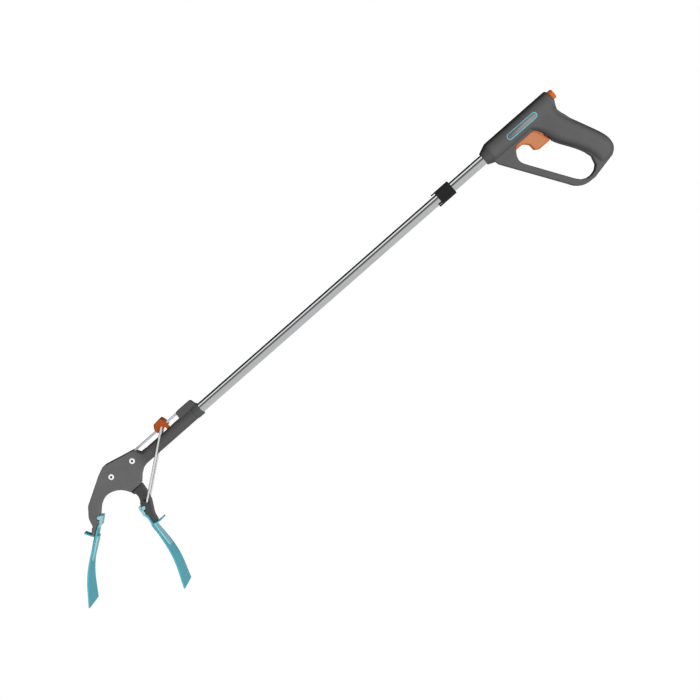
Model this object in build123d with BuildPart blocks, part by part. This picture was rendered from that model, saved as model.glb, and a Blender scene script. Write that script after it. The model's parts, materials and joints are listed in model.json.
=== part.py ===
"""Reacher grabber: a pistol-grip handle on an aluminium tube, whose trigger closes a two-fingered jaw.

Millimetres. +X runs along the tube towards the handle, +Z is up and Y is the thickness. The tube's axis
is the X axis. The origin is where the middle of the grip meets that axis. The jaw is modelled open.
"""
import os
from math import atan2, cos, degrees, hypot, pi, radians, sin, sqrt, tan

from build123d import *

# --- Tube and push rod ---
TUBE_R = 6.5
TUBE_BORE_R = 5.5
TUBE_FRONT = -645.5
TUBE_REAR = -35.0
ROD_R = 2.5
RACK_BAR_R = 4.5
RACK_BAR_FRONT = -43.0
RACK_BAR_REAR = 17.0
SOCKET_DEPTH = 8.0
FIT = 0.03
RUN = 0.06

# --- Motion ---
SLIDER_STROKE = 35.5
TRIGGER_STROKE = SLIDER_STROKE / 2
JAW_CLOSE = 42.36

# --- Jaw head, positions as (x, z) ---
PIVOT = (-685.4, 8.9)
BODY_RIVET = (-651.7, 6.7)
HEAD_HALF = 8.0
POCKET_HALF = 5.0
ARM_HALF = 4.7
ARM_THICK_HALF = 7.0
ARM_BOSS_R = 12.0
POCKET_GAP = 0.6
RIVET_R = 2.55
RIVET_HOLE_R = 1.5
RIVET_FLANGE_R = 3.8
RIVET_FLANGE = 0.8
BUSH_R = 4.2
ARCH_CENTRE = (-706.5, -33.2)
ARCH_R = 28.4
SOCKET_R = 8.0
SOCKET_REAR = -543.1
GUIDE_Z = 14.4
GUIDE_R = 1.5

# --- Fingers ---
FINGER_REACH = 112.0
PIN_RADIUS = 56.2
FIXED_PIN_ANGLE = -149.84
MOVING_PIN_ANGLE = -86.73
FIXED_LEAN = 13.7
MOVING_LEAN = 16.1
FINGER_PIN_R = 3.0
BLADE = 3.0
BLADE_ROOT_HALF = 7.0
SPINE_HALF = 6.0
BLADE_WIDTHS = [(8.7, 8.5), (26.0, 11.5), (60.0, 17.5), (110.5, 25.0), (115.0, 25.5)]
BLADE_TIP_HALF = 25.0
BLADE_CREST = (70.0, 7.4)
BLADE_END_V = 0.5

# --- Link and slider ---
LINK_TOP = (-594.6, GUIDE_Z)
LINK_BOTTOM = (-672.41, -44.03)
WIRE_R = 1.3
LEG_Y = 10.3
SLIDER_HALF = 8.5
SLOT_RISE = 3.65
LEG_FRONT = -592.8
LEG_REAR = -588.2
SLIDER_PIN = ((LEG_FRONT + LEG_REAR) / 2, 0)
SLIDER_PIN_R = 1.0
PIN_FIT = 0.02

# --- Handle ---
BARREL_R = 13.6
BARREL_FRONT = -78.6
BARREL_REAR = 30.5
BARREL_BORE_R = 11.1
PLATE_HALF = 8.2
PLATE_ROUND = 1.6
SLOT_HALF = 6.8
TRIGGER_HALF = 6.5
TRIGGER_ROUND = 1.4
BUTTON_Z = 4.5
BUTTON_R = 6.0

# --- Gear train: module 1, 25 degree stub teeth ---
MODULE = 1.0
PRESSURE = radians(25)
SMALL_TEETH = 8
LARGE_TEETH = 16
ADDENDUM = 0.7
DEDENDUM = 0.95
BACKLASH = 0.16
PINION_X = -22.0
ROD_PITCH_Z = -2.5
PINION_Z = ROD_PITCH_Z - LARGE_TEETH * MODULE / 2
TRIGGER_PITCH_Z = PINION_Z - SMALL_TEETH * MODULE / 2
SMALL_Y = (-5.5, -1.2)
LARGE_Y = (-1.0, 4.0)
AXLE_R = 1.5
AXLE_HALF = 7.6


def polar(centre, radius, angle):
    """The (x, z) point at this radius and angle in degrees from a centre."""
    return (centre[0] + radius * cos(radians(angle)), centre[1] + radius * sin(radians(angle)))


FIXED_PIN = polar(PIVOT, PIN_RADIUS, FIXED_PIN_ANGLE)
MOVING_PIN = polar(PIVOT, PIN_RADIUS, MOVING_PIN_ANGLE)
FIXED_TURN = FIXED_PIN_ANGLE + FIXED_LEAN
MOVING_TURN = MOVING_PIN_ANGLE - MOVING_LEAN


def across(y):
    """The side-view sketch plane, x along X and y along Z, at this Y."""
    return Plane(origin=(0, y, 0), x_dir=(1, 0, 0), z_dir=(0, -1, 0))


def along(x):
    """The cross-section sketch plane at this X: x along Y, y along Z, and extrusion towards +X."""
    return Plane(origin=(x, 0, 0), x_dir=(0, 1, 0), z_dir=(1, 0, 0))


def finger_plane(pin, turn, outward):
    """A finger's side-view plane: x from its pin to its tip, y outwards."""
    x_dir = (cos(radians(turn)), 0, sin(radians(turn)))
    return Plane(origin=(pin[0], 0, pin[1]), x_dir=x_dir, z_dir=(0, -outward, 0))


FIXED_PLANE = finger_plane(FIXED_PIN, FIXED_TURN, -1)
MOVING_PLANE = finger_plane(MOVING_PIN, MOVING_TURN, 1)


def at(plane, u, v):
    """The (x, z) point of a finger plane's (u, v)."""
    point = plane.from_local_coords(Vector(u, v, 0))
    return (point.X, point.Z)


def round_corners(outline, corners):
    """Rounds the corners of a side-view outline that lie nearest to these (x, z, radius) places."""
    for x, z, radius in corners:
        fillet(outline.vertices().sort_by_distance((x, z, 0))[0], radius)


def rod_x(x0, x1, radius, z=0.0, inner=0.0):
    """A round bar or tube along X, as a loose part."""
    with BuildPart() as bar:
        with BuildSketch(along(x0)):
            with Locations((0, z)):
                Circle(radius)
                if inner:
                    Circle(inner, mode=Mode.SUBTRACT)
        extrude(amount=x1 - x0)
    return bar.part


def rod_y(centre, radius, y0, y1, inner=0.0):
    """A round bar or tube along Y at this (x, z), as a loose part."""
    with BuildPart() as bar:
        with BuildSketch(across(y0)):
            with Locations(centre):
                Circle(radius)
                if inner:
                    Circle(inner, mode=Mode.SUBTRACT)
        extrude(amount=-(y1 - y0))
    return bar.part


def block(x0, x1, y0, y1, z0, z1):
    """A rectangular block between these limits, as a loose part."""
    with BuildPart() as box:
        with Locations(((x0 + x1) / 2, (y0 + y1) / 2, (z0 + z1) / 2)):
            Box(x1 - x0, y1 - y0, z1 - z0)
    return box.part


def side_prism(points, y0, y1, rounding=0.0):
    """A side-view outline drawn as (x, z) points, between two Y values."""
    with BuildPart() as prism:
        with BuildSketch(across(y0)) as outline:
            with BuildLine():
                Polyline(*points, close=True)
            make_face()
            if rounding:
                fillet(outline.vertices(), rounding)
        extrude(amount=-(y1 - y0))
    return prism.part


def involute_gear(teeth, y0, y1):
    """A spur gear on the pinion's axle, with a tooth space facing straight up and straight down."""
    pitch_r = teeth * MODULE / 2
    base_r = pitch_r * cos(PRESSURE)
    tip_r = pitch_r + ADDENDUM
    root_r = pitch_r - DEDENDUM
    half_tooth = (pi * MODULE / 2 - BACKLASH) / 2 / pitch_r
    base_half = half_tooth + tan(PRESSURE) - PRESSURE
    flank = []
    for step in range(7):
        radius = max(base_r, root_r) + (tip_r - max(base_r, root_r)) * step / 6
        roll = sqrt(max((radius / base_r) ** 2 - 1, 0))
        flank.append((radius, base_half - (roll - atan2(roll, 1))))
    with BuildPart() as gear:
        with BuildSketch(across(y0)):
            with Locations((PINION_X, PINION_Z)):
                Circle(root_r)
            for index in range(teeth):
                middle = radians(90) + 2 * pi * (index + 0.5) / teeth
                left = [(root_r - 0.2, base_half)] + flank
                outline = [(r, middle + a) for r, a in left] + [(r, middle - a) for r, a in reversed(left)]
                with BuildLine():
                    points = [(PINION_X + r * cos(a), PINION_Z + r * sin(a)) for r, a in outline]
                    Polyline(*points, close=True)
                make_face()
        extrude(amount=-(y1 - y0))
    return gear.part


def rack_teeth(x0, x1, pitch_z, up, y0, y1):
    """The spaces of a rack that meshes with the pinion at rest: a tooth stands on the line of centres."""
    pitch = pi * MODULE
    tip = pitch_z + up * (ADDENDUM + 0.5)
    root = pitch_z - up * DEDENDUM
    narrow = pitch / 4 + BACKLASH / 4 - DEDENDUM * tan(PRESSURE)
    wide = pitch / 4 + BACKLASH / 4 + (ADDENDUM + 0.5) * tan(PRESSURE)
    spaces = Part()
    first = int((x0 - PINION_X) / pitch) - 1
    last = int((x1 - PINION_X) / pitch) + 1
    for index in range(first, last + 1):
        middle = PINION_X + (index + 0.5) * pitch
        if x0 < middle < x1:
            corners = [
                (middle - narrow, root), (middle + narrow, root), (middle + wide, tip), (middle - wide, tip),
            ]
            spaces += side_prism(corners, y0, y1)
    return spaces


def save(name, part):
    """Labels a finished piece and writes its file."""
    part.label = name
    export_step(part, f"parts/{name}.step")
    print(name, round(part.volume))


def halves(name, body):
    """Splits a moulding at Y = 0 into a left shell on the -Y side and a right shell on the +Y side."""
    for side, keep in (("left", Keep.TOP), ("right", Keep.BOTTOM)):
        with BuildPart() as shell:
            add(body)
            split(bisect_by=Plane.XZ, keep=keep)
        save(f"{name}_{side}", shell.part)


os.makedirs("parts", exist_ok=True)

# ---------------------------------------------------------------- tube and its furniture
SLOT_FRONT = LINK_TOP[0] - SLIDER_STROKE + 0.5
SLOT_REAR = LINK_TOP[0] + 8.4
with BuildPart() as tube:
    add(rod_x(TUBE_FRONT, TUBE_REAR, TUBE_R, inner=TUBE_BORE_R))
    add(block(SLOT_FRONT, SLOT_REAR, -1.9, 1.9, 2, 9), mode=Mode.SUBTRACT)
save("tube", tube.part)

CLIP_FRONT = -150.0
CLIP_REAR = -128.8
with BuildPart() as collar_clip:
    with BuildSketch(along(CLIP_FRONT)):
        with Locations((0, 0.4)):
            RectangleRounded(17.2, 18.4, 3.2)
    extrude(amount=CLIP_REAR - CLIP_FRONT)
    chamfer(collar_clip.faces().sort_by(Axis.X)[-1].edges(), 0.8)
    with BuildSketch(along(CLIP_FRONT - 5)):
        with Locations((0, 8.6)):
            RectangleRounded(8, 1.6, 0.6)
        with Locations((0, -7.8)):
            RectangleRounded(11, 2.0, 0.8)
    extrude(amount=6)
    with BuildSketch(along(CLIP_FRONT - 10)):
        Circle(TUBE_R + FIT)
    extrude(amount=40, mode=Mode.SUBTRACT)
save("collar_clip", collar_clip.part)

# ---------------------------------------------------------------- jaw head, two riveted shells
ARCH_START = at(FIXED_PLANE, -9.0, -1.0)
ARCH_TOP = polar(ARCH_CENTRE, ARCH_R, 95)
ARCH_END = (-680.6, -21.6)
with BuildPart() as head_body:
    with BuildSketch(across(-HEAD_HALF)) as cheek:
        with BuildLine():
            outer = [
                (-628.0, 4.0), (-636.5, 4.8), (-642.6, 16.1), (-662.0, 20.5), (-684.6, 25.9),
                (-697.0, 20.7), (-733.5, 0.6), (-743.6, -11.5),
            ]
            tongue = [at(FIXED_PLANE, 13.4, 7.4), at(FIXED_PLANE, 23.2, 7.4), at(FIXED_PLANE, 23.2, 3.1)]
            inner = [at(FIXED_PLANE, 8.4, 1.2), at(FIXED_PLANE, 8.4, -1.1), ARCH_START]
            Polyline(*outer, (-747.4, -24.6), *tongue, *inner)
            ThreePointArc(ARCH_START, ARCH_TOP, ARCH_END)
            Polyline(ARCH_END, (-663.6, -21.6), (-656.4, -14.2), (-649.6, -9.6), (-640.0, -7.4),
                     (-628.0, -6.0), (-628.0, 4.0))
        make_face()
        round_corners(cheek, [
            (-642.6, 16.1, 3.0), (-684.6, 25.9, 9.0), (-697.0, 20.7, 12.0), (-733.5, 0.6, 14.0),
            (-743.6, -11.5, 14.0), (-649.6, -9.6, 9.0), (-656.4, -14.2, 4.0),
        ])
    extrude(amount=-2 * HEAD_HALF)
    flat_sides = head_body.faces().filter_by(Axis.Y)
    chamfer(flat_sides.edges().filter_by(lambda edge: edge.center().X < -632), 0.7)
    add(rod_x(-650, SOCKET_REAR - 9, SOCKET_R))
    add(rod_x(SOCKET_REAR - 9, SOCKET_REAR, SOCKET_R + 0.7))
    with BuildSketch(across(-4.5)) as bump:
        with BuildLine():
            Polyline((-571.8, 5.0), (-570.4, 16.8), (-546.3, 16.8), (-544.0, 5.0), close=True)
        make_face()
        round_corners(bump, [(-570.4, 16.8, 3.0), (-546.3, 16.8, 4.0)])
    extrude(amount=-9)
    add(rod_x(TUBE_FRONT - 0.3, 0, TUBE_R + FIT), mode=Mode.SUBTRACT)
    add(block(SLOT_FRONT, SLOT_REAR, -1.9, 1.9, 2, 9.5), mode=Mode.SUBTRACT)
    add(rod_x(-652, -549, GUIDE_R + FIT, z=GUIDE_Z), mode=Mode.SUBTRACT)
    with BuildSketch(across(-POCKET_HALF)):
        with Locations(PIVOT):
            Circle(ARM_BOSS_R + POCKET_GAP)
        with BuildLine():
            reach = hypot(23.6, 36.0)
            rest_edge = degrees(atan2(-36.0, 23.6))
            inner_edge = degrees(atan2(-30.7, 4.0)) - JAW_CLOSE
            Polyline(polar(PIVOT, ARM_BOSS_R + POCKET_GAP, rest_edge + 70), polar(PIVOT, reach, rest_edge),
                     polar(PIVOT, reach + 16, (rest_edge + inner_edge) / 2),
                     polar(PIVOT, reach - 8, inner_edge),
                     polar(PIVOT, ARM_BOSS_R + POCKET_GAP, inner_edge - 66), close=True)
        make_face()
    extrude(amount=-2 * POCKET_HALF, mode=Mode.SUBTRACT)
    for hole in (PIVOT, BODY_RIVET):
        add(rod_y(hole, RIVET_R + PIN_FIT, -12, 12), mode=Mode.SUBTRACT)
    add(rod_y(FIXED_PIN, FINGER_PIN_R + FIT, -12, 12), mode=Mode.SUBTRACT)
halves("head_shell", head_body.part)


def rivet(name, centre):
    """A hollow rivet with a rolled flange at each end."""
    with BuildPart() as eyelet:
        add(rod_y(centre, RIVET_R, -HEAD_HALF - 0.1, HEAD_HALF + 0.1))
        for y0 in (-HEAD_HALF - RIVET_FLANGE, HEAD_HALF):
            add(rod_y(centre, RIVET_FLANGE_R, y0, y0 + RIVET_FLANGE))
        flats = eyelet.faces().filter_by(Axis.Y)
        fillet(flats.filter_by(lambda face: abs(face.center().Y) > HEAD_HALF + 0.5).edges(), RIVET_FLANGE - 0.15)
        add(rod_y(centre, RIVET_HOLE_R, -12, 12), mode=Mode.SUBTRACT)
    save(name, eyelet.part)


rivet("pivot_rivet", PIVOT)
rivet("body_rivet", BODY_RIVET)

with BuildPart() as guide_rod:
    add(rod_x(-651.5, -549.5, GUIDE_R, z=GUIDE_Z))
    chamfer(guide_rod.edges(), 0.3)
save("guide_rod", guide_rod.part)

# ---------------------------------------------------------------- moving jaw arm
with BuildPart() as jaw_arm:
    with BuildSketch(across(-ARM_HALF)):
        with Locations(PIVOT):
            Circle(ARM_BOSS_R)
        with BuildLine():
            Polyline(polar(PIVOT, 8, 30), (-663.9, -22.6), (-664.2, -27.0), (-679.4, -27.0), (-681.0, -21.8),
                     polar(PIVOT, ARM_BOSS_R, 190), close=True)
        make_face()
    extrude(amount=-2 * ARM_HALF)
    with BuildSketch(across(-ARM_THICK_HALF)) as lower:
        with BuildLine():
            edge_top = polar(ARCH_CENTRE, 29.0, 21.0)
            edge_end = at(MOVING_PLANE, -6.5, -1.1)
            Polyline(edge_top, (-664.0, -22.8), (-665.6, -34.3), (-669.2, -46.6), (-674.4, -55.4),
                     at(MOVING_PLANE, 13.4, 7.4), at(MOVING_PLANE, 23.2, 7.4), at(MOVING_PLANE, 23.2, 3.1),
                     at(MOVING_PLANE, 8.4, 1.2), at(MOVING_PLANE, 8.4, -1.1), edge_end)
            ThreePointArc(edge_end, polar(ARCH_CENTRE, 29.6, 3.0), edge_top)
        make_face()
        round_corners(lower, [(-665.6, -34.3, 20.0), (-669.2, -46.6, 12.0)])
    extrude(amount=-2 * ARM_THICK_HALF)
    add(rod_y(PIVOT, BUSH_R + FIT, -12, 12), mode=Mode.SUBTRACT)
    add(rod_y(MOVING_PIN, FINGER_PIN_R + FIT, -12, 12), mode=Mode.SUBTRACT)
    towards = degrees(atan2(PIVOT[1] - LINK_BOTTOM[1], PIVOT[0] - LINK_BOTTOM[0]))
    with BuildSketch(across(-12)):
        with Locations(Location(polar(LINK_BOTTOM, SLOT_RISE / 2, towards), towards)):
            SlotCenterToCenter(SLOT_RISE + 0.3, 2 * (WIRE_R + 0.7))
    extrude(amount=-24, mode=Mode.SUBTRACT)
save("jaw_arm", jaw_arm.part)

save("pivot_bush", rod_y(PIVOT, BUSH_R, -ARM_HALF - 0.15, ARM_HALF + 0.15, inner=RIVET_R + RUN))


# ---------------------------------------------------------------- fingers
def finger(name, plane, pin):
    """A snap-on finger: a bowed blade that widens to its tip, a spine, a root clip and a release lever."""
    top = Plane(origin=plane.origin, x_dir=plane.x_dir, z_dir=plane.y_dir)
    with BuildPart() as part:
        with BuildSketch(plane):
            with BuildLine():
                middle = FilletPolyline((-4.5, -2.4), BLADE_CREST, (FINGER_REACH, BLADE_END_V), radius=125)
                offset(middle, amount=BLADE / 2, side=Side.BOTH)
            make_face()
        extrude(amount=BLADE_TIP_HALF + 1, both=True)
        with BuildSketch(top):
            with BuildLine():
                Polyline(*BLADE_WIDTHS, *[(u, -half) for u, half in reversed(BLADE_WIDTHS)], close=True)
            make_face()
        extrude(amount=40, both=True, mode=Mode.INTERSECT)
        with BuildSketch(plane) as spine:
            with BuildLine():
                Polyline((24.0, -1.8), (24.0, 3.9), (34, 6.0), (50, 7.4), (57, 7.6), (58, 4.6), (34, 0.0),
                         close=True)
            make_face()
        extrude(amount=SPINE_HALF, both=True)
        with BuildSketch(plane) as clip:
            with BuildLine():
                Polyline((-5.5, -6.0), (8.6, -4.8), (13.0, -1.6), (13.0, -0.4), (8.8, -1.2), (-5.5, -1.2),
                         close=True)
            make_face()
        extrude(amount=BLADE_ROOT_HALF, both=True)
        with BuildSketch(plane):
            with BuildLine():
                Polyline((23.6, 0.0), (26.2, 0.0), (25.0, 9.0), (22.6, 17.6), (20.8, 17.0), (22.9, 9.0),
                         (23.6, 6.0), close=True)
            make_face()
        extrude(amount=5.5, both=True)
        add(rod_y(pin, FINGER_PIN_R, -BLADE_ROOT_HALF - 1.6, BLADE_ROOT_HALF + 1.6))
    save(name, part.part)


finger("fixed_finger", FIXED_PLANE, FIXED_PIN)
finger("moving_finger", MOVING_PLANE, MOVING_PIN)

# ---------------------------------------------------------------- slider, link and push rod
with BuildPart() as slider:
    with BuildSketch(across(-SLIDER_HALF)) as hood:
        with BuildLine():
            Polyline((-603.6, 11.2), (-604.0, 17.8), (-600.6, 23.0), (-589.4, 24.0), (-587.4, 18.6),
                     (-587.4, 11.2), close=True)
        make_face()
        round_corners(hood, [(-600.6, 23.0, 3.0), (-604.0, 17.8, 4.0), (-589.4, 24.0, 1.5)])
    extrude(amount=-2 * SLIDER_HALF)
    chamfer(slider.faces().filter_by(Axis.Y).edges(), 0.8)
    add(block(LEG_FRONT, LEG_REAR, -1.5, 1.5, -2.9, 12))
    add(rod_x(-620, -570, GUIDE_R + RUN, z=GUIDE_Z), mode=Mode.SUBTRACT)
    for y0, y1 in ((-12, -2.0), (2.0, 12)):
        add(rod_y(LINK_TOP, WIRE_R + RUN, y0, y1), mode=Mode.SUBTRACT)
    add(rod_y(SLIDER_PIN, SLIDER_PIN_R + PIN_FIT, -5, 5), mode=Mode.SUBTRACT)
save("slider", slider.part)

with BuildPart() as rod_end:
    add(rod_x(-600, -576, TUBE_BORE_R - 0.1))
    chamfer(rod_end.edges(), 0.6)
    add(rod_x(-584, -570, ROD_R + FIT), mode=Mode.SUBTRACT)
    add(block(LEG_FRONT - 0.1, LEG_REAR + 0.1, -1.55, 1.55, -3.0, 8), mode=Mode.SUBTRACT)
    add(rod_y(SLIDER_PIN, SLIDER_PIN_R + PIN_FIT, -8, 8), mode=Mode.SUBTRACT)
save("rod_end", rod_end.part)
save("slider_pin", rod_y(SLIDER_PIN, SLIDER_PIN_R, -4.9, 4.9))
save("push_rod", rod_x(-584, RACK_BAR_FRONT + SOCKET_DEPTH, ROD_R))


def rod_bush(name, front, rear, bar_r):
    """A guide bush pressed into the tube, with a running bore for the bar."""
    save(name, rod_x(front, rear, TUBE_BORE_R - PIN_FIT, inner=bar_r + RUN))


rod_bush("front_rod_bush", -572.0, -562.0, ROD_R)
rod_bush("middle_rod_bush", -330.0, -320.0, ROD_R)
rod_bush("rear_rod_bush", TUBE_REAR - 6, TUBE_REAR, RACK_BAR_R)


with BuildPart() as link:
    leg = hypot(LINK_TOP[0] - LINK_BOTTOM[0], LINK_TOP[1] - LINK_BOTTOM[1])
    slope = degrees(atan2(LINK_TOP[1] - LINK_BOTTOM[1], LINK_TOP[0] - LINK_BOTTOM[0]))
    link_plane = Plane(
        origin=(LINK_BOTTOM[0], 0, LINK_BOTTOM[1]), x_dir=(cos(radians(slope)), 0, sin(radians(slope))),
        z_dir=(-sin(radians(slope)), 0, cos(radians(slope))),
    )
    with BuildLine(link_plane) as wire:
        FilletPolyline((leg, 2.3), (leg, LEG_Y), (0, LEG_Y), (0, -LEG_Y), (leg, -LEG_Y), (leg, -2.3),
                       radius=1.7)
    with BuildSketch(Plane(origin=wire.wire() @ 0, z_dir=wire.wire() % 0)):
        Circle(WIRE_R)
    sweep(path=wire.wire())
save("link", link.part)

# ---------------------------------------------------------------- rack bar, pinion and trigger
TEETH_FRONT = PINION_X - 7.0
with BuildPart() as rod_rack:
    add(rod_x(RACK_BAR_FRONT, RACK_BAR_REAR, RACK_BAR_R))
    chamfer(rod_rack.edges(), 0.5)
    add(rod_x(RACK_BAR_FRONT - 1, RACK_BAR_FRONT + SOCKET_DEPTH, ROD_R + FIT), mode=Mode.SUBTRACT)
    flat = ROD_PITCH_Z - ADDENDUM
    add(block(TEETH_FRONT, RACK_BAR_REAR + 1, -6, 6, -6, flat), mode=Mode.SUBTRACT)
    add(rack_teeth(TEETH_FRONT + 1, RACK_BAR_REAR + 2, ROD_PITCH_Z, -1, -6, 6), mode=Mode.SUBTRACT)
save("rod_rack", rod_rack.part)

with BuildPart() as pinion:
    add(involute_gear(SMALL_TEETH, SMALL_Y[0], LARGE_Y[0]))
    add(involute_gear(LARGE_TEETH, LARGE_Y[0], LARGE_Y[1]))
    add(rod_y((PINION_X, PINION_Z), AXLE_R + RUN, -12, 12), mode=Mode.SUBTRACT)
save("pinion", pinion.part)
save("pinion_axle", rod_y((PINION_X, PINION_Z), AXLE_R, -AXLE_HALF, AXLE_HALF))

SPRING_Z = -28.5
TRIGGER_TOP = PINION_Z - AXLE_R - 0.3
with BuildPart() as trigger:
    with BuildSketch(across(-TRIGGER_HALF)) as side:
        with BuildLine():
            Polyline((-40.6, -15.4), (-40.6, -13.6), (-38.6, TRIGGER_TOP), (-14.2, TRIGGER_TOP), (-9.6, -17.8),
                     (-6.9, -22.5), (-3.2, -33.6), (-3.2, -35.2), (-20.4, -35.2), (-25.8, -31.6),
                     (-25.8, -23.6), (-31.6, -17.6), close=True)
        make_face()
        round_corners(side, [
            (-31.6, -17.6, 6.0), (-25.8, -23.6, 3.0), (-25.8, -31.6, 2.0), (-20.4, -35.2, 3.0),
        ])
    extrude(amount=-2 * TRIGGER_HALF)
    rims = trigger.faces().filter_by(Axis.Y).edges()
    fillet(rims.filter_by(lambda edge: edge.center().Z < -14 and edge.center().X < -18), TRIGGER_ROUND)
    add(block(-44.0, -30.0, -5.6, -1.3, -17.4, -13.6))
    add(block(-50, 0, -5.8, -1.0, TRIGGER_PITCH_Z + ADDENDUM, -10), mode=Mode.SUBTRACT)
    add(block(-50, 0, -1.05, 5.3, PINION_Z - 8 - ADDENDUM - 0.5, -10), mode=Mode.SUBTRACT)
    add(rack_teeth(-43.5, -17.5, TRIGGER_PITCH_Z, 1, -5.8, -0.9), mode=Mode.SUBTRACT)
    add(rod_x(-5, 1.5, 2.6, z=SPRING_Z))
save("trigger", trigger.part)


def spring(name, x0, x1, radius, wire_r, turns, z):
    """A compression spring along X between two seats."""
    length = x1 - x0 - 2 * wire_r
    with BuildPart() as coil:
        with BuildLine() as path:
            Helix(pitch=length / turns, height=length, radius=radius, center=(x0 + wire_r, 0, z),
                  direction=(1, 0, 0))
        with BuildSketch(Plane(origin=path.wire() @ 0, z_dir=path.wire() % 0)):
            Circle(wire_r)
        sweep(path=path.wire(), is_frenet=True)
    save(name, coil.part)


SPRING_SEAT = 25.0
spring("trigger_spring", -3.1, SPRING_SEAT, 3.9, 0.5, 7, SPRING_Z)

# ---------------------------------------------------------------- push button at the barrel's rear
RIB = (18.0, 19.8)
with BuildPart() as lock_button:
    add(rod_x(25.4, 36.2, BUTTON_R, z=BUTTON_Z))
    fillet(lock_button.faces().sort_by(Axis.X)[-1].edges(), 1.8)
    add(rod_x(25.4, 26.9, BUTTON_R + 0.5, z=BUTTON_Z))
    add(rod_x(20, 32, 4.6, z=BUTTON_Z), mode=Mode.SUBTRACT)
save("lock_button", lock_button.part)
spring("button_spring", RIB[1] + 0.05, 31.95, 3.6, 0.4, 6, BUTTON_Z)

# ---------------------------------------------------------------- handle, two screwed shells
GRIP = [
    (2, -11.5, 25.2, 12.0), (-14, -12.6, 26.2, 12.6), (-25, -6.4, 29.2, 13.2), (-38, -2.2, 35.0, 13.6),
    (-56, 8.4, 43.2, 13.6), (-75, 18.6, 50.6, 13.2), (-86, 21.4, 51.2, 12.6), (-93, 21.8, 48.2, 11.2),
    (-97.0, 23.0, 43.0, 8.6),
]
# Each screw: x, z, and the Y of its head's seat in the right shell.
SCREW_R = 1.4
SCREW_HEAD_R = 3.1
SCREW_REACH = 5.0
SCREWS = [
    (-56.0, -21.0, 5.6), (-24.5, -80.0, 5.6), (21.6, -15.6, 9.0), (26.0, -52.0, 9.4), (38.0, -84.0, 9.0),
]
with BuildPart() as handle_body:
    with BuildSketch(across(-PLATE_HALF)) as plate:
        with BuildLine():
            Polyline((-70.6, -6.0), (-68.6, -16.8), (-20.6, -90.8))
            ThreePointArc((-20.6, -90.8), (-12.9, -100.0), (-0.6, -104.4))
            Polyline((-0.6, -104.4), (8.4, -104.8), (41.4, -97.8), (46.8, -93.4), (42.6, -70.0),
                     (24.0, -6.0), (-70.6, -6.0))
        make_face()
        with BuildLine():
            Polyline((-44.4, -37.6), (-46.6, -33.4), (-47.5, -28.8), (-46.0, -23.5), (-42.6, -18.0),
                     (-38.0, -13.6), (-8.0, -13.6), (2.0, -40.0), (10.0, -57.0), (18.0, -72.0),
                     (21.2, -83.0), (18.5, -93.5), (13.0, -98.0), (6.7, -99.7), (0.7, -99.2), (-5.9, -95.9), (-11.2, -89.4),
                     close=True)
        make_face(mode=Mode.SUBTRACT)
    extrude(amount=-2 * PLATE_HALF)
    flats = handle_body.faces().filter_by(Axis.Y)
    fillet(flats.edges().filter_by(lambda e: e.center().Z < -16 and e.center().X < 30), PLATE_ROUND)
    with BuildSketch(Plane.XZ) as barrel:
        with BuildLine():
            Polyline((BARREL_FRONT, 0), (BARREL_FRONT, 8.4), (-66.0, BARREL_R), (BARREL_REAR, BARREL_R),
                     (BARREL_REAR, 0), close=True)
        make_face()
        round_corners(barrel, [(-66.0, BARREL_R, 6.0), (BARREL_REAR, BARREL_R, 4.0)])
    revolve(axis=Axis.X)
    for z, front, rear, half in GRIP:
        with BuildSketch(Plane.XY.offset(z)):
            with Locations(((front + rear) / 2, 0)):
                RectangleRounded(rear - front, 2 * half, half - 1.2)
    loft()
    with BuildSketch(across(-16)):
        with BuildLine():
            Spline((34.0, 1.5), (30.3, -2.5), (27.4, -8.0), (26.6, -14.0), (28.2, -21.0))
            Polyline((28.2, -21.0), (34.0, -21.0), (34.0, 1.5))
        make_face()
    extrude(amount=-32, mode=Mode.SUBTRACT)
    add(rod_x(-90, -35, TUBE_R + FIT), mode=Mode.SUBTRACT)
    add(rod_x(-62, -42, BARREL_BORE_R), mode=Mode.SUBTRACT)
    add(rod_x(TUBE_REAR, RIB[0], BARREL_BORE_R), mode=Mode.SUBTRACT)
    add(rod_x(RIB[1], 27.0, BUTTON_R + 1.2, z=BUTTON_Z), mode=Mode.SUBTRACT)
    add(rod_x(20, 40, BUTTON_R + 0.12, z=BUTTON_Z), mode=Mode.SUBTRACT)
    add(block(-41.4, 16.6, -SLOT_HALF, SLOT_HALF, -35.7, -11.0), mode=Mode.SUBTRACT)
    add(block(-45.6, -38.0, -5.9, -1.0, -17.8, -11.0), mode=Mode.SUBTRACT)
    add(block(-33.5, -10.5, -5.8, 4.4, -20.0, 0.0), mode=Mode.SUBTRACT)
    add(rod_x(16, SPRING_SEAT, 5.2, z=SPRING_Z), mode=Mode.SUBTRACT)
    add(rod_y((PINION_X, PINION_Z), AXLE_R + FIT, -AXLE_HALF - 0.1, AXLE_HALF + 0.1), mode=Mode.SUBTRACT)
    for x, z, seat in SCREWS:
        add(rod_y((x, z), SCREW_HEAD_R, seat, 20), mode=Mode.SUBTRACT)
        add(rod_y((x, z), SCREW_R, -SCREW_REACH, seat), mode=Mode.SUBTRACT)
LABEL_CENTRE = (-19.0, 0)
LABEL_LENGTH = 46.0
LABEL_HEIGHT = 8.4
LABEL_FLOOR_R = 13.0
with BuildPart() as label_pocket:
    with BuildSketch(across(-20)):
        with Locations(LABEL_CENTRE):
            SlotOverall(LABEL_LENGTH, LABEL_HEIGHT)
    extrude(amount=-14)
    add(rod_x(-60, 20, LABEL_FLOOR_R), mode=Mode.SUBTRACT)
with BuildPart() as handle_cut:
    add(handle_body.part)
    add(label_pocket.part, mode=Mode.SUBTRACT)
halves("handle_shell", handle_cut.part)


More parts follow.
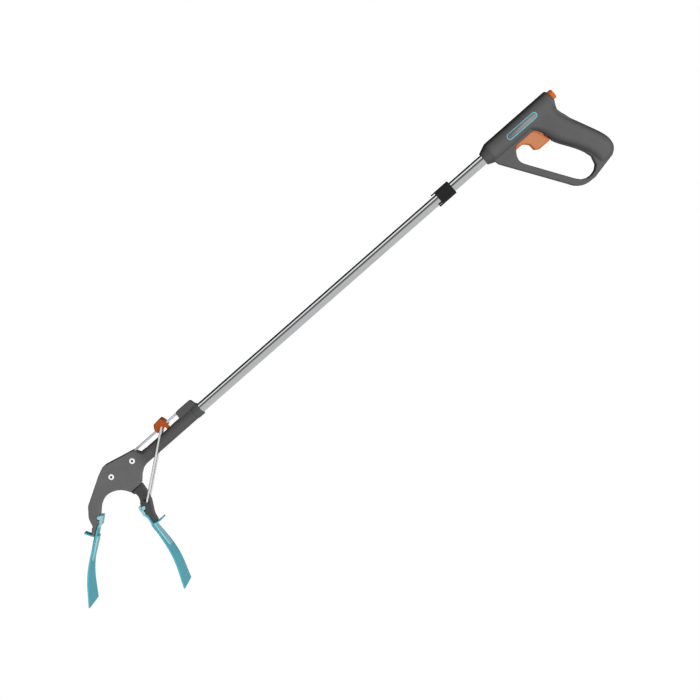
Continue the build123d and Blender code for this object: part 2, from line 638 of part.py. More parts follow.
def label_piece(name, length, height, hole, outer):
    """A capsule that follows the barrel's side, between the pocket's floor and this outer radius."""
    with BuildPart() as piece:
        with BuildSketch(across(-20)):
            with Locations(LABEL_CENTRE):
                SlotOverall(length, height)
                if hole:
                    SlotOverall(length - hole, height - hole, mode=Mode.SUBTRACT)
        extrude(amount=-14)
        add(rod_x(-60, 20, outer), mode=Mode.INTERSECT)
        add(rod_x(-60, 20, LABEL_FLOOR_R + 0.02), mode=Mode.SUBTRACT)
    save(name, piece.part)


label_piece("label_ring", LABEL_LENGTH - 0.1, LABEL_HEIGHT - 0.1, 2.4, 14.0)
label_piece("label_plate", LABEL_LENGTH - 2.6, LABEL_HEIGHT - 2.6, 0, 13.7)

with BuildPart() as screws:
    for x, z, seat in SCREWS:
        add(rod_y((x, z), SCREW_R - 0.02, -SCREW_REACH + 0.1, seat + 0.5))
        add(rod_y((x, z), SCREW_HEAD_R - 0.2, seat + 0.02, seat + 1.9))
        add(block(x - 1.7, x + 1.7, seat + 1.1, seat + 3, z - 0.35, z + 0.35), mode=Mode.SUBTRACT)
        add(block(x - 0.35, x + 0.35, seat + 1.1, seat + 3, z - 1.7, z + 1.7), mode=Mode.SUBTRACT)
save("handle_screws", screws.part)
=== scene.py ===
"""Looks of the reacher grabber: finger, spring and screw meshes, materials, light, floor and camera.

Metres, in the CAD frame: +X runs along the tube to the handle, +Z is up and -Y is the near side.
"""
import json
from math import cos, pi, radians, sin, sqrt

import bmesh
import bpy
from mathutils import Matrix, Vector


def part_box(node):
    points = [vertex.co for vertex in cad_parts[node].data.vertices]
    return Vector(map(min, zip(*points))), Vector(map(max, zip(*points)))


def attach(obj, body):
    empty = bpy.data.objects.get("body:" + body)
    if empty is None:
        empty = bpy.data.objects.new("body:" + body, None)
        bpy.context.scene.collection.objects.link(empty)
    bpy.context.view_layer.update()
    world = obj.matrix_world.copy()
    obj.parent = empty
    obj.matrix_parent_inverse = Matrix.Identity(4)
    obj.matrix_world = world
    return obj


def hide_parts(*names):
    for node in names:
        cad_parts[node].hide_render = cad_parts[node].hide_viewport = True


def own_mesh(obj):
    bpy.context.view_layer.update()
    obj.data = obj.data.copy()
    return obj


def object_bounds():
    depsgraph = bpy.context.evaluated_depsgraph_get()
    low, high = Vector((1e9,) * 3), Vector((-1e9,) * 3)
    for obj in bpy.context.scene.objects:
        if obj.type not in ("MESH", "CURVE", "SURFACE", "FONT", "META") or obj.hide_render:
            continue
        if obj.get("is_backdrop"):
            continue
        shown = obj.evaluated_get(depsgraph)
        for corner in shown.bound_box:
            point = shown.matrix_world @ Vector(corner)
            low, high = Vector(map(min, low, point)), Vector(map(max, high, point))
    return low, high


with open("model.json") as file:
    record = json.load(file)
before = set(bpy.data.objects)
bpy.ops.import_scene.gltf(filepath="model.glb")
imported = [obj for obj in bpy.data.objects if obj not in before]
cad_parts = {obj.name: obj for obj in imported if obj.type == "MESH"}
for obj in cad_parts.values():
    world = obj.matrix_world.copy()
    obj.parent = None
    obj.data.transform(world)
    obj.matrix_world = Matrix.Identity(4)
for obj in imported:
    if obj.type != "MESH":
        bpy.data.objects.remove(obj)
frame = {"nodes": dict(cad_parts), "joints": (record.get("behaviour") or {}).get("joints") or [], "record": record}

CAD_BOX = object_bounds()
MM = 0.001
NODES = frame["nodes"]
JOINTS = {joint["name"]: joint for joint in frame["joints"]}

# --- Camera ---
CAMERA_AIM = Vector((-0.3542, 0.0, -0.0682))
CAMERA_DISTANCE = 1.651
CAMERA_AZIMUTH = radians(-6.2)
CAMERA_ELEVATION = radians(3.65)
CAMERA_ROLL = radians(41.42)
CAMERA_LENS = 68.6

# --- Fingers, in millimetres on each finger's own plane: u from pin to tip, v outwards ---
PIN_RADIUS = 56.2
FIXED_PIN_ANGLE = -149.84
MOVING_PIN_ANGLE = -86.73
FIXED_LEAN = 13.7
MOVING_LEAN = 16.1
FINGER_REACH = 112.0
BLADE_CREST = (70.0, 7.4)
BLADE_BEND = 18.7
BLADE_START = (-4.5, -2.4)
BLADE_END_V = 0.5
CLIP_HALF = 7.0
SPINE_HALF = 7.4
BLADE_WIDTHS = [(8.7, 8.5), (26.0, 11.5), (60.0, 17.5), (110.5, 25.0)]
CLIP_OUTLINE = [(-3.4, -5.7), (8.6, -4.8), (13.0, -1.6), (13.0, -0.5), (8.8, -1.3), (-3.4, -1.3)]
LEVER_OUTLINE = [
    (23.6, 0.2), (26.0, 0.2), (25.3, 7.0), (24.0, 13.0),
    (22.6, 17.4), (20.9, 17.0), (22.3, 12.4), (23.3, 7.0),
]
LEVER_HALF = 5.4
PIN_PROFILE = [(1.9, -8.0), (2.5, -7.5), (2.5, 7.5), (1.9, 8.0)]
BLADE_FIRST_SHARE = 0.115
BLADE_THICK = 2.9
BLADE_THINNED = 0.42
BLADE_CORNER = 0.85
BLADE_ROWS = 44
SPINE_START = 23.6
SPINE_END = 58.5
SPINE_CAP = 4.6
SPINE_ROWS = 26


# ---------------------------------------------------------------- mesh helpers
def mesh_object(name, verts, faces, material):
    """A smooth-shaded mesh object from points in metres, with its normals facing out."""
    mesh = bpy.data.meshes.new(name)
    mesh.from_pydata([tuple(v) for v in verts], [], faces)
    work = bmesh.new()
    work.from_mesh(mesh)
    bmesh.ops.recalc_face_normals(work, faces=work.faces)
    work.to_mesh(mesh)
    work.free()
    mesh.polygons.foreach_set("use_smooth", [True] * len(mesh.polygons))
    mesh.materials.append(material)
    obj = bpy.data.objects.new(name, mesh)
    bpy.context.scene.collection.objects.link(obj)
    return obj


def loft(name, loops, material):
    """A closed skin through loops of equal length, with a flat face closing each end."""
    count = len(loops[0])
    verts = [point for loop in loops for point in loop]
    faces = []
    for row in range(len(loops) - 1):
        for i in range(count):
            j = (i + 1) % count
            faces.append((row * count + i, row * count + j, (row + 1) * count + j, (row + 1) * count + i))
    last = (len(loops) - 1) * count
    faces.append(tuple(range(count)))
    faces.append(tuple(last + i for i in range(count)))
    return mesh_object(name, verts, faces, material)


def rounded_rectangle(half_w, half_h, radius, steps=4):
    """Corner-rounded rectangle points (a, b), anticlockwise from the right-hand side."""
    points = []
    for quarter, (sx, sy) in enumerate(((1, 1), (-1, 1), (-1, -1), (1, -1))):
        for step in range(steps + 1):
            turn = (quarter + step / steps) * pi / 2
            across = sx * (half_w - radius) + radius * cos(turn)
            points.append((across, sy * (half_h - radius) + radius * sin(turn)))
    return points


def bevelled(obj, width, segments=3, angle=35):
    """Rounds an object's sharp edges and evens its shading."""
    bevel = obj.modifiers.new("edge_round", "BEVEL")
    bevel.width = width
    bevel.segments = segments
    bevel.limit_method = "ANGLE"
    bevel.angle_limit = radians(angle)
    bevel.harden_normals = True
    evened = obj.modifiers.new("even_normals", "WEIGHTED_NORMAL")
    evened.keep_sharp = True
    return obj


def prism(name, outline, place, half_y, material, bevel=0.4):
    """An outline of (u, v) points in millimetres, extruded across Y, with rounded edges."""
    count = len(outline)
    verts = [place(u, v, side * half_y) for side in (-1, 1) for u, v in outline]
    faces = [tuple(range(count)), tuple(range(2 * count - 1, count - 1, -1))]
    for i in range(count):
        j = (i + 1) % count
        faces.append((i, j, count + j, count + i))
    obj = mesh_object(name, verts, faces, material)
    return bevelled(obj, bevel * MM)


def spun(name, centre, profile, material, steps=40):
    """A solid of revolution about the Y axis through centre, from (radius, y) points in millimetres."""
    loops = []
    for radius, y in profile:
        ring = []
        for step in range(steps):
            turn = 2 * pi * step / steps
            ring.append(centre + Vector((radius * cos(turn), y, radius * sin(turn))) * MM)
        loops.append(ring)
    return loft(name, loops, material)


# ---------------------------------------------------------------- material helpers
class Surface:
    """A Principled material under construction, with short calls for its nodes."""

    def __init__(self, name, **sockets):
        self.material = bpy.data.materials.new(name)
        self.material.use_nodes = True
        self.tree = self.material.node_tree
        self.shader = self.tree.nodes["Principled BSDF"]
        for socket, value in sockets.items():
            self.shader.inputs[socket.replace("_", " ")].default_value = value
        self.where = self.tree.nodes.new("ShaderNodeTexCoord").outputs["Object"]

    def node(self, kind, **values):
        """A node with these properties set."""
        made = self.tree.nodes.new(kind)
        for key, value in values.items():
            setattr(made, key, value)
        return made

    def link(self, output, target):
        self.tree.links.new(output, target)

    def stretched(self, scale):
        """Object coordinates, in cycles per metre along each axis."""
        mapping = self.node("ShaderNodeMapping")
        mapping.inputs["Scale"].default_value = scale
        self.link(self.where, mapping.inputs["Vector"])
        return mapping.outputs["Vector"]

    def noise(self, scale, detail=3.0, roughness=0.55):
        made = self.node("ShaderNodeTexNoise")
        made.inputs["Scale"].default_value = 1.0
        made.inputs["Detail"].default_value = detail
        made.inputs["Roughness"].default_value = roughness
        self.link(self.stretched(scale), made.inputs["Vector"])
        return made.outputs["Fac"]

    def spread(self, value, low, high, start=0.3, end=0.7):
        """Maps a value from start..end to low..high."""
        made = self.node("ShaderNodeMapRange")
        self.link(value, made.inputs["Value"])
        for key, number in (("From Min", start), ("From Max", end), ("To Min", low), ("To Max", high)):
            made.inputs[key].default_value = number
        return made.outputs["Result"]

    def blended(self, amount, first, second):
        """Mixes two colours, each a colour socket or an RGB triple."""
        made = self.node("ShaderNodeMix", data_type="RGBA")
        self.link(amount, made.inputs["Factor"])
        for index, colour in ((6, first), (7, second)):
            if isinstance(colour, bpy.types.NodeSocket):
                self.link(colour, made.inputs[index])
            else:
                made.inputs[index].default_value = (*colour, 1.0)
        return made.outputs[2]

    def edges(self, radius, start=0.02, end=0.25):
        """1 on edges sharper than radius, 0 on flats, from a rounded normal compared with the true one."""
        bevel = self.node("ShaderNodeBevel", samples=8)
        bevel.inputs["Radius"].default_value = radius
        geometry = self.node("ShaderNodeNewGeometry")
        dot = self.node("ShaderNodeVectorMath", operation="DOT_PRODUCT")
        self.link(bevel.outputs["Normal"], dot.inputs[0])
        self.link(geometry.outputs["Normal"], dot.inputs[1])
        return self.spread(dot.outputs["Value"], 1.0, 0.0, 1.0 - end, 1.0 - start)

    def facing_y(self, start, end):
        """1 where the surface faces along Y, 0 where it faces well away from it."""
        geometry = self.node("ShaderNodeNewGeometry")
        split = self.node("ShaderNodeSeparateXYZ")
        size = self.node("ShaderNodeMath", operation="ABSOLUTE")
        self.link(geometry.outputs["Normal"], split.inputs["Vector"])
        self.link(split.outputs["Y"], size.inputs[0])
        return self.spread(size.outputs[0], 0.0, 1.0, start, end)

    def bump(self, height, strength, distance):
        made = self.node("ShaderNodeBump")
        made.inputs["Strength"].default_value = strength
        made.inputs["Distance"].default_value = distance
        self.link(height, made.inputs["Height"])
        self.link(made.outputs["Normal"], self.shader.inputs["Normal"])


def shade(colour, factor):
    return tuple(min(1.0, channel * factor) for channel in colour)


def moulded(name, colour, rough, grain=1500.0, texture=0.12, wear_and_highlight=1.35, face=None, zone=None, edge=None):
    """Moulded plastic: cloudy tone, fine grain, and edges lightened partly as rubbed wear and partly as a painted
    edge highlight.

    Face is a lighter colour painted as light on what faces along Y, with the turns it starts and ends at;
    what turns away keeps the plain colour, as painted shade. Zone is a colour and the X where it starts,
    in metres. Edge is the width in millimetres of the rubbed and painted-highlight edge, and its softness.
    """
    edge_width, edge_end = edge or (0.6, 0.25)
    surface = Surface(name, Specular_IOR_Level=0.3)
    cloud = surface.spread(surface.noise((38, 38, 38), 4), 0.0, 1.0)
    tone = surface.blended(cloud, shade(colour, 0.92), shade(colour, 1.08))
    scuff = surface.spread(surface.noise((260, 340, 300), 5, 0.7), 0.0, 0.5, 0.56, 0.74)
    tone = surface.blended(scuff, tone, shade(colour, 1.22))
    if zone:
        beyond, start = zone
        split = surface.node("ShaderNodeSeparateXYZ")
        surface.link(surface.where, split.inputs["Vector"])
        along = surface.spread(split.outputs["X"], 0.0, 1.0, start, start + 0.012)
        tone = surface.blended(along, tone, beyond)
    # Painted light: a lighter colour where the surface faces along Y, so what turns away reads as painted shade.
    if face:
        flat, start, end = face
        lit_tone = surface.blended(cloud, shade(flat, 0.95), shade(flat, 1.05))
        tone = surface.blended(surface.facing_y(start, end), tone, lit_tone)
    # Edges lightened by a factor: partly rubbed wear, partly a painted edge highlight.
    tone = surface.blended(surface.edges(edge_width * MM, end=edge_end), tone, shade(colour, wear_and_highlight))
    surface.link(tone, surface.shader.inputs["Base Color"])
    fine = surface.noise((grain, grain, grain), 2, 0.6)
    surface.link(surface.spread(cloud, rough - 0.04, rough + 0.06, 0, 1), surface.shader.inputs["Roughness"])
    surface.bump(fine, texture, 0.0002)
    return surface.material


def drawn_metal(name, colour, rough, streak, metallic=1.0, lined=0.12, bore_shade=None):
    """Metal with die lines and smudges. A bore colour is painted shade on what turns away from Y, such as a
    rivet's bore.
    """
    surface = Surface(name, Metallic=metallic)
    lines = surface.noise(streak, 3, 0.7)
    smudge = surface.noise((24, 24, 24), 4, 0.6)
    tone = surface.blended(surface.spread(lines, 0, 1, 0.35, 0.65), shade(colour, 0.93), shade(colour, 1.03))
    # Painted shade: what turns away from Y, such as the rivet's bore, takes a dark colour.
    if bore_shade:
        tone = surface.blended(surface.facing_y(0.25, 0.75), bore_shade, tone)
    surface.link(tone, surface.shader.inputs["Base Color"])
    mixed = surface.node("ShaderNodeMath", operation="ADD")
    surface.link(surface.spread(lines, rough - 0.04, rough + 0.05), mixed.inputs[0])
    surface.link(surface.spread(smudge, 0.0, 0.07, 0.45, 0.7), mixed.inputs[1])
    surface.link(mixed.outputs[0], surface.shader.inputs["Roughness"])
    surface.bump(lines, lined, 0.00005)
    return surface.material


# The handle's lighter grey is painted light on what faces along Y; its plain grey, where it turns away, is painted
# shade.
HANDLE_GREY = (0.037, 0.037, 0.038)
HANDLE_LIT_GREY = (0.062, 0.062, 0.063)
HEAD_GREY = (0.082, 0.082, 0.083)
NECK_GREY = (0.053, 0.053, 0.054)
ARM_GREY = (0.038, 0.038, 0.039)
BLACK = (0.007, 0.007, 0.007)
ORANGE = (0.36, 0.072, 0.010)
# The trigger's pale orange is painted light on its Y-facing side.
LIT_ORANGE = (0.32, 0.128, 0.061)
SLIDER_ORANGE = (0.240, 0.047, 0.0085)
TEAL = (0.050, 0.290, 0.350)
# A lighter copy of the teal, painted light, for the finger parts that face the light.
LIT_TEAL = (0.185, 0.365, 0.405)

MATERIALS = {
    # Handle: lighter grey painted as light on its Y-facing faces, darker sides as painted shade.
    "handle_plastic": moulded(
        "handle_plastic_look", HANDLE_GREY, 0.42, 1400.0, 0.16, 1.6, face=(HANDLE_LIT_GREY, 0.55, 0.98)),
    "head_plastic": moulded(
        "head_plastic_look", HEAD_GREY, 0.46, 1600.0, 0.12, 1.35, zone=(NECK_GREY, -0.648)),
    "arm_plastic": moulded("arm_plastic_look", ARM_GREY, 0.42, 1600.0, 0.12, 1.4),
    "black_plastic": moulded("black_plastic_look", BLACK, 0.38, 1800.0, 0.10, 1.9),
    "orange_plastic": moulded("orange_plastic_look", ORANGE, 0.40, 1800.0, 0.07, 1.15),
    "teal_plastic": moulded("teal_plastic_look", TEAL, 0.46, 1800.0, 0.06, 1.15),
    "label_insert": moulded("label_insert_look", (0.150, 0.146, 0.144), 0.22, 2400.0, 0.05, 1.2),
    "tube_aluminium": drawn_metal("tube_look", (0.86, 0.87, 0.88), 0.13, (5, 900, 900), lined=0.05),
    # The rivet's bore is painted black, as shade.
    "rivet_steel": drawn_metal("rivet_look", (0.80, 0.80, 0.79), 0.22, (700, 60, 700), 0.4, bore_shade=BLACK),
    "wire_steel": drawn_metal("wire_steel_look", (0.70, 0.70, 0.71), 0.20, (14, 14, 14), 0.6, 0.04),
    "spring_steel": drawn_metal("spring_steel_look", (0.50, 0.50, 0.52), 0.28, (400, 400, 400)),
    "white_nylon": moulded("white_nylon_look", (0.72, 0.71, 0.66), 0.40, 1500.0, 0.06, 1.05),
}
# Trigger and web: pale orange painted as light on the Y-facing side, inside a wide orange rim.
TRIGGER_LIT_LOOK = moulded(
    "trigger_plastic_look", ORANGE, 0.40, 1800.0, 0.07, 1.15, face=(LIT_ORANGE, 0.975, 0.9995),
    edge=(2.6, 0.05))
SLIDER_LOOK = moulded("slider_plastic_look", SLIDER_ORANGE, 0.40, 1800.0, 0.07, 1.3)
LABEL_RING = moulded("label_ring_look", (0.095, 0.260, 0.300), 0.46, 1800.0, 0.06, 1.1)
# Painted light: the fingers' spine, clip and pin take this lighter teal.
LIT_FINGER = moulded("painted_light_teal_look", LIT_TEAL, 0.46, 1800.0, 0.06, 1.2)


# ---------------------------------------------------------------- CAD nodes that stay
WELD_GAP = 0.005 * MM
EDGE_WIDTHS = {
    "slider": 0.35, "collar_clip": 0.3, "tube": 0.2, "label_ring": 0.2,
    "handle_screws": 0.15, "rod_end": 0.2, "rod_rack": 0.1,
}


def keep_node(node, slot):
    """Gives a CAD node its material, joins its split vertices and rounds its edges."""
    for entry in node.material_slots:
        entry.material = MATERIALS[slot]
    weld = node.modifiers.new("join", "WELD")
    weld.merge_threshold = WELD_GAP
    if node.name in EDGE_WIDTHS:
        bevelled(node, EDGE_WIDTHS[node.name] * MM, 2)


for part in frame["record"]["subparts"]:
    keep_node(NODES[part["node"]], part["material_slot"])
for node, look in (("slider", SLIDER_LOOK), ("label_ring", LABEL_RING)):
    for entry in NODES[node].material_slots:
        entry.material = look


# ---------------------------------------------------------------- moulded shells
def moulded_shell(node, slot, body, voxel, rounds, seam, held=None, look=None):
    """A moulding with soft edges: the CAD shape remeshed and smoothed, but not at its parting line.

    Held is a box in millimetres, as x, half y and z limits, where the faces stay as they are. Look is a
    material to use instead of the slot's own.
    """
    rough = bpy.data.objects.new(node + "_rough", NODES[node].data.copy())
    bpy.context.scene.collection.objects.link(rough)
    rough.modifiers.new("join", "WELD").merge_threshold = WELD_GAP
    remesh = rough.modifiers.new("even", "REMESH")
    remesh.mode = "VOXEL"
    remesh.voxel_size = voxel
    bpy.context.view_layer.update()
    mesh = bpy.data.meshes.new_from_object(rough.evaluated_get(bpy.context.evaluated_depsgraph_get()))
    bpy.data.objects.remove(rough)
    shell = bpy.data.objects.new(node + "_shell", mesh)
    bpy.context.scene.collection.objects.link(shell)
    free = shell.vertex_groups.new(name="free")
    for vertex in mesh.vertices:
        weight = min(max(abs(vertex.co.y) / seam - 0.1, 0.0), 1.0)
        if held:
            (x0, x1), half_y, (z0, z1) = held
            x, y, z = vertex.co / MM
            if x0 < x < x1 and abs(y) < half_y and z0 < z < z1:
                weight = 0.0
        free.add([vertex.index], weight, "REPLACE")
    soften = shell.modifiers.new("soften", "SMOOTH")
    soften.factor = 0.5
    soften.iterations = rounds
    soften.vertex_group = "free"
    mesh.polygons.foreach_set("use_smooth", [True] * len(mesh.polygons))
    mesh.materials.clear()
    mesh.materials.append(look or MATERIALS[slot])
    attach(shell, body)
    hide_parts(node)


NO_SEAM = 0.001 * MM
TRIGGER_SLOT = ((-42.5, 17.5), 7.3, (-37.0, -10.0))
TRIGGER_RACK = ((-50.0, 10.0), 9.0, (-19.0, 0.0))
for side in ("left", "right"):
    moulded_shell("handle_shell_" + side, "handle_plastic", "frame", 0.7 * MM, 7, 1.2 * MM, TRIGGER_SLOT)
    moulded_shell("head_shell_" + side, "head_plastic", "frame", 0.5 * MM, 4, 0.8 * MM)
moulded_shell("jaw_arm", "arm_plastic", "jaw", 0.5 * MM, 4, NO_SEAM)
moulded_shell("trigger", "orange_plastic", "trigger", 0.3 * MM, 64, NO_SEAM, TRIGGER_RACK, TRIGGER_LIT_LOOK)


# ---------------------------------------------------------------- fingers
PIVOT = Vector(JOINTS["jaw_turn"]["pos_m"])


def finger_place(pin_angle, lean, outward):
    """The function that turns a finger's (u, v, y) in millimetres into a point in the frame."""
    pin = PIVOT + Vector((cos(radians(pin_angle)), 0, sin(radians(pin_angle)))) * PIN_RADIUS * MM
    turn = radians(pin_angle + lean)
    ahead = Vector((cos(turn), 0, sin(turn)))
    out = Vector((-sin(turn), 0, cos(turn))) * outward

    def place(u, v, y):
        return pin + (ahead * u + out * v + Vector((0, y, 0))) * MM

    return place


def crest_line(share):
    """The blade's middle line from root to tip, as (u, v): two straights joined by a bend."""
    (u0, v0), (uc, vc), (u1, v1) = BLADE_START, BLADE_CREST, (FINGER_REACH, BLADE_END_V)
    rise = (vc - v0) / (uc - u0)
    fall = (v1 - vc) / (u1 - uc)
    u = u0 + (u1 - u0) * share
    first, last = uc - BLADE_BEND, uc + BLADE_BEND
    if u <= first:
        return u, v0 + rise * (u - u0)
    if u >= last:
        return u, vc + fall * (u - uc)
    t = (u - first) / (last - first)
    v_first, v_last = vc - rise * BLADE_BEND, vc + fall * BLADE_BEND
    return u, (1 - t) ** 2 * v_first + 2 * t * (1 - t) * vc + t * t * v_last


def blade_half(u):
    """Half the blade's width at u, eased between the named widths."""
    for (u0, half0), (u1, half1) in zip(BLADE_WIDTHS, BLADE_WIDTHS[1:]):
        if u < u1:
            return half0 + (half1 - half0) * max(u - u0, 0) / (u1 - u0)
    return BLADE_WIDTHS[-1][1]


def blade(name, place, material):
    """The blade: a thin bowed paddle, thickest on its middle line, with rounded rims."""
    loops = []
    for row in range(BLADE_ROWS + 1):
        share = BLADE_FIRST_SHARE + (1 - BLADE_FIRST_SHARE) * row / BLADE_ROWS
        u, v = crest_line(share)
        half = blade_half(u)
        loop = []
        for a, b in rounded_rectangle(half, BLADE_THICK / 2, BLADE_CORNER, 3):
            thin = 1 - BLADE_THINNED * (a / half) ** 2
            loop.append(place(u, v + b * thin, a))
        loops.append(loop)
    obj = loft(name, loops, material)
    return bevelled(obj, 0.4 * MM, 3, 50)


def spine(name, place, material):
    """The raised rib along the upper half of the blade, on both faces, lower and rounded at its end."""
    loops = []
    for row in range(SPINE_ROWS + 1):
        u = SPINE_START + (SPINE_END - SPINE_START) * row / SPINE_ROWS
        share = (u - BLADE_START[0]) / (FINGER_REACH - BLADE_START[0])
        v = crest_line(share)[1]
        near_end = max(0.0, u - (SPINE_END - SPINE_CAP)) / SPINE_CAP
        cap = sqrt(max(1 - near_end ** 2, 0.02))
        half = SPINE_HALF * cap
        height = 0.35 + 0.65 * cap
        to_root = 1 - row / SPINE_ROWS
        out = (2.1 + 0.3 * to_root) * height
        inside = (2.3 + 1.0 * to_root) * height
        outline = rounded_rectangle(half, (out + inside) / 2, min(0.9, 0.8 * half), 3)
        loops.append([place(u, v + (out - inside) / 2 + b, a) for a, b in outline])
    return bevelled(loft(name, loops, material), 0.25 * MM, 2, 50)


def finger(body, node, pin_angle, lean, outward):
    """One snap-on finger: blade, spine, root clip, release lever and pin, standing for its CAD node."""
    place = finger_place(pin_angle, lean, outward)
    teal = MATERIALS["teal_plastic"]
    # Spine, clip and pin take the lighter teal, which is painted light.
    pieces = [
        blade(node + "_blade", place, teal),
        spine(node + "_spine", place, LIT_FINGER),
        prism(node + "_clip", CLIP_OUTLINE, place, CLIP_HALF, LIT_FINGER, 0.5),
        prism(node + "_lever", LEVER_OUTLINE, place, LEVER_HALF, teal, 0.45),
        spun(node + "_pin", place(0, 0, 0), PIN_PROFILE, LIT_FINGER),
    ]
    for piece in pieces:
        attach(piece, body)
    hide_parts(node)


finger("frame", "fixed_finger", FIXED_PIN_ANGLE, FIXED_LEAN, -1)
finger("jaw", "moving_finger", MOVING_PIN_ANGLE, -MOVING_LEAN, 1)


# ---------------------------------------------------------------- trigger web
WEB_OUTLINE = [(-17.2, -18.0), (-17.2, -12.8), (-9.6, -13.4), (-4.8, -20.4), (-4.2, -25.0), (-7.5, -25.0)]
WEB_Y = -3.3
WEB_HALF = 1.9


def web_place(x, z, y):
    """A point of the web from millimetres. The web lies beside the large gear, on the small one's side."""
    return Vector((x, y + WEB_Y, z)) * MM


web = prism("trigger_web", WEB_OUTLINE, web_place, WEB_HALF, TRIGGER_LIT_LOOK, 0.5)
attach(web, "trigger")


# ---------------------------------------------------------------- springs
COIL_STEPS = 22
WIRE_SIDES = 10
CLOSED_PITCH = 0.3


def coil(node, turns, wire_r, travel):
    """A compression spring between its seats, with closed end turns."""
    low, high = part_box(node)
    centre = (low + high) / 2
    radius = (high.z - low.z) / 2 - wire_r
    start, end = low.x + wire_r, high.x - wire_r
    loops = []
    total = int(turns * COIL_STEPS)
    for step in range(total + 1):
        share = step / total
        turn = 2 * pi * turns * share
        closed = 1 / turns
        if share < closed:
            eased = share * CLOSED_PITCH
        elif share > 1 - closed:
            eased = 1 - (1 - share) * CLOSED_PITCH
        else:
            open_part = (share - closed) / (1 - 2 * closed)
            eased = CLOSED_PITCH * closed + open_part * (1 - 2 * CLOSED_PITCH * closed)
        outward = Vector((0, cos(turn), sin(turn)))
        middle = Vector((start + (end - start) * eased, centre.y, centre.z)) + outward * radius
        loops.append([
            middle + (outward * cos(a) + Vector((1, 0, 0)) * sin(a)) * wire_r
            for a in (2 * pi * k / WIRE_SIDES for k in range(WIRE_SIDES))
        ])
    piece = loft(node + "_coil", loops, MATERIALS["spring_steel"])
    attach(piece, "frame")
    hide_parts(node)
    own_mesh(piece)


coil("trigger_spring", 7.0, 0.0005, JOINTS["trigger_slide"]["range_m"][1])
coil("button_spring", 6.0, 0.0004, JOINTS["lock_button_press"]["range_m"][1])


# ---------------------------------------------------------------- stage, light and camera
# How bright the surround is at each height in degrees, from the near horizon over the top to the far one.
NEAR_LEVEL = 0.62
FAR_LEVEL = 0.04
STUDIO_BANDS = [(6, 0.62), (22, 0.12), (46, 0.12), (58, 1.1), (78, 1.1), (90, 0.01), (156, 0.01)]
FILL_LEVEL = 0.08
FLOOR_MIRRORED = 0.55
STUDIO_STRENGTH = 0.80
LIGHT_AIM = (-0.35, 0, -0.03)


def by_ray(tree, kind, yes, no):
    """One shader for rays of this kind and another for the rest."""
    path = tree.nodes.new("ShaderNodeLightPath")
    mix = tree.nodes.new("ShaderNodeMixShader")
    tree.links.new(path.outputs[kind], mix.inputs["Fac"])
    tree.links.new(no, mix.inputs[1])
    tree.links.new(yes, mix.inputs[2])
    return mix.outputs["Shader"]


def glow(tree, kind, level):
    """An even white light source of this strength."""
    made = tree.nodes.new(kind)
    made.inputs["Color"].default_value = (1, 1, 1, 1)
    made.inputs["Strength"].default_value = level
    return made.outputs[0]


def stage_floor():
    """A plain pale floor, as white as the background, that lets the key light through."""
    bpy.ops.mesh.primitive_plane_add(size=30.0, location=(-0.35, 0, CAD_BOX[0].z - 0.002))
    floor = bpy.context.object
    floor.name = "stage_floor"
    floor.visible_shadow = False
    paper = bpy.data.materials.new("stage_paper")
    paper.use_nodes = True
    tree = paper.node_tree
    shader = tree.nodes["Principled BSDF"]
    shader.inputs["Base Color"].default_value = (0.66, 0.66, 0.66, 1)
    shader.inputs["Roughness"].default_value = 0.9
    shader.inputs["Specular IOR Level"].default_value = 0.1
    sheen = glow(tree, "ShaderNodeEmission", FLOOR_MIRRORED)
    mirrored = by_ray(tree, "Is Glossy Ray", sheen, shader.outputs["BSDF"])
    seen = by_ray(tree, "Is Camera Ray", glow(tree, "ShaderNodeEmission", 1.0), mirrored)
    tree.links.new(seen, tree.nodes["Material Output"].inputs["Surface"])
    floor.data.materials.append(paper)
    floor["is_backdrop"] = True


def softbox(name, place, aim, size, power):
    """A rectangular area light at place, turned towards aim."""
    lamp = bpy.data.lights.new(name, "AREA")
    lamp.shape = "RECTANGLE"
    lamp.size, lamp.size_y = size
    lamp.energy = power
    lamp.cycles.use_multiple_importance_sampling = False
    obj = bpy.data.objects.new(name, lamp)
    obj.location = place
    obj.rotation_mode = "QUATERNION"
    obj.rotation_quaternion = (Vector(aim) - Vector(place)).to_track_quat("-Z", "Y")
    obj.visible_glossy = False
    bpy.context.scene.collection.objects.link(obj)


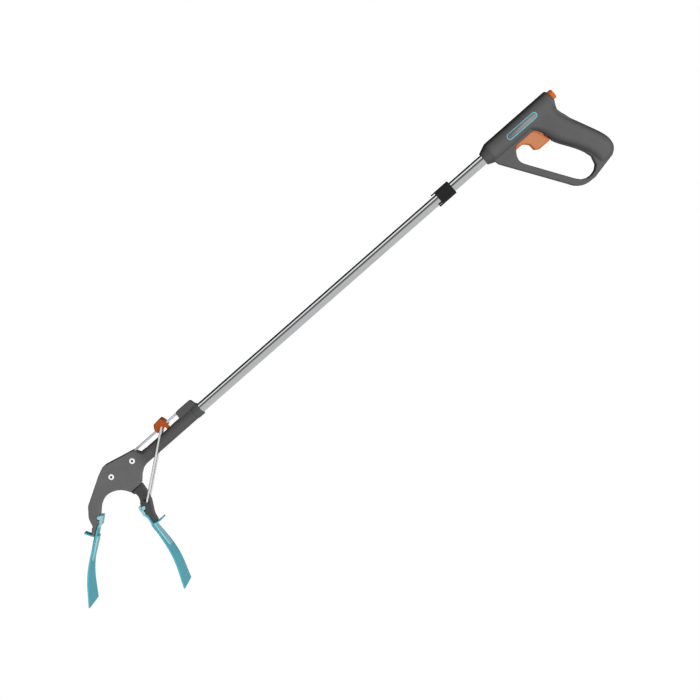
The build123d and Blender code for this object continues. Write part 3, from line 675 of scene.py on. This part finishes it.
def surround():
    """White to the camera, a banded studio to reflections, and a faint even fill to everything else."""
    world = bpy.data.worlds.new("studio")
    world.use_nodes = True
    bpy.context.scene.world = world
    tree = world.node_tree
    where = tree.nodes.new("ShaderNodeTexCoord")
    split = tree.nodes.new("ShaderNodeSeparateXYZ")
    tree.links.new(where.outputs["Generated"], split.inputs["Vector"])
    turn = tree.nodes.new("ShaderNodeMath")
    turn.operation = "ARCTAN2"
    ahead = tree.nodes.new("ShaderNodeMath")
    ahead.operation = "MULTIPLY"
    ahead.inputs[1].default_value = -1.0
    tree.links.new(split.outputs["Y"], ahead.inputs[0])
    tree.links.new(split.outputs["Z"], turn.inputs[0])
    tree.links.new(ahead.outputs[0], turn.inputs[1])
    share = tree.nodes.new("ShaderNodeMapRange")
    share.inputs["From Min"].default_value = 0.0
    share.inputs["From Max"].default_value = pi
    tree.links.new(turn.outputs[0], share.inputs["Value"])
    ramp = tree.nodes.new("ShaderNodeValToRGB")
    stops = ramp.color_ramp.elements
    stops[0].color = (NEAR_LEVEL, NEAR_LEVEL, NEAR_LEVEL, 1)
    stops[1].color = (FAR_LEVEL, FAR_LEVEL, FAR_LEVEL, 1)
    for degrees_up, level in STUDIO_BANDS:
        stop = stops.new(degrees_up / 180)
        stop.color = (level, level, level, 1)
    tree.links.new(share.outputs["Result"], ramp.inputs["Fac"])
    studio = tree.nodes["Background"]
    tree.links.new(ramp.outputs["Color"], studio.inputs["Color"])
    studio.inputs["Strength"].default_value = STUDIO_STRENGTH
    mirrored = by_ray(tree, "Is Glossy Ray", studio.outputs["Background"],
                      glow(tree, "ShaderNodeBackground", FILL_LEVEL))
    seen = by_ray(tree, "Is Camera Ray", glow(tree, "ShaderNodeBackground", 1.0), mirrored)
    tree.links.new(seen, tree.nodes["World Output"].inputs["Surface"])


def lights():
    """A soft key just below the camera, a side light beyond the handle and a broad one for the far side."""
    softbox("key", (0.41, -3.59, -0.95), LIGHT_AIM, (1.0, 0.7), 205)
    softbox("side", (2.6, -1.6, -0.40), LIGHT_AIM, (1.0, 0.7), 62)
    softbox("back", (-0.9, 3.2, 0.60), LIGHT_AIM, (1.4, 0.9), 150)


def camera():
    """The photograph's viewpoint, with the camera rolled so that the tube climbs to the right."""
    ahead = Vector((
        sin(CAMERA_AZIMUTH) * cos(CAMERA_ELEVATION), cos(CAMERA_AZIMUTH) * cos(CAMERA_ELEVATION),
        -sin(CAMERA_ELEVATION),
    ))
    level = ahead.cross(Vector((0, 0, 1))).normalized()
    upright = level.cross(ahead)
    right = level * cos(CAMERA_ROLL) - upright * sin(CAMERA_ROLL)
    up = level * sin(CAMERA_ROLL) + upright * cos(CAMERA_ROLL)
    data = bpy.data.cameras.new("view")
    data.lens = CAMERA_LENS
    data.sensor_width = 36.0
    data.clip_start = 0.05
    data.clip_end = 60.0
    obj = bpy.data.objects.new("view", data)
    bpy.context.scene.collection.objects.link(obj)
    turn = Matrix((right, up, -ahead)).transposed().to_4x4()
    obj.matrix_world = Matrix.Translation(CAMERA_AIM - ahead * CAMERA_DISTANCE) @ turn
    bpy.context.scene.camera = obj


stage_floor()
surround()
lights()
camera()
bpy.context.scene.view_settings.view_transform = "Standard"

for name, box in (("cad", CAD_BOX), ("visual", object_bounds())):
    json.dumps({name: [list(box[0]), list(box[1])]})
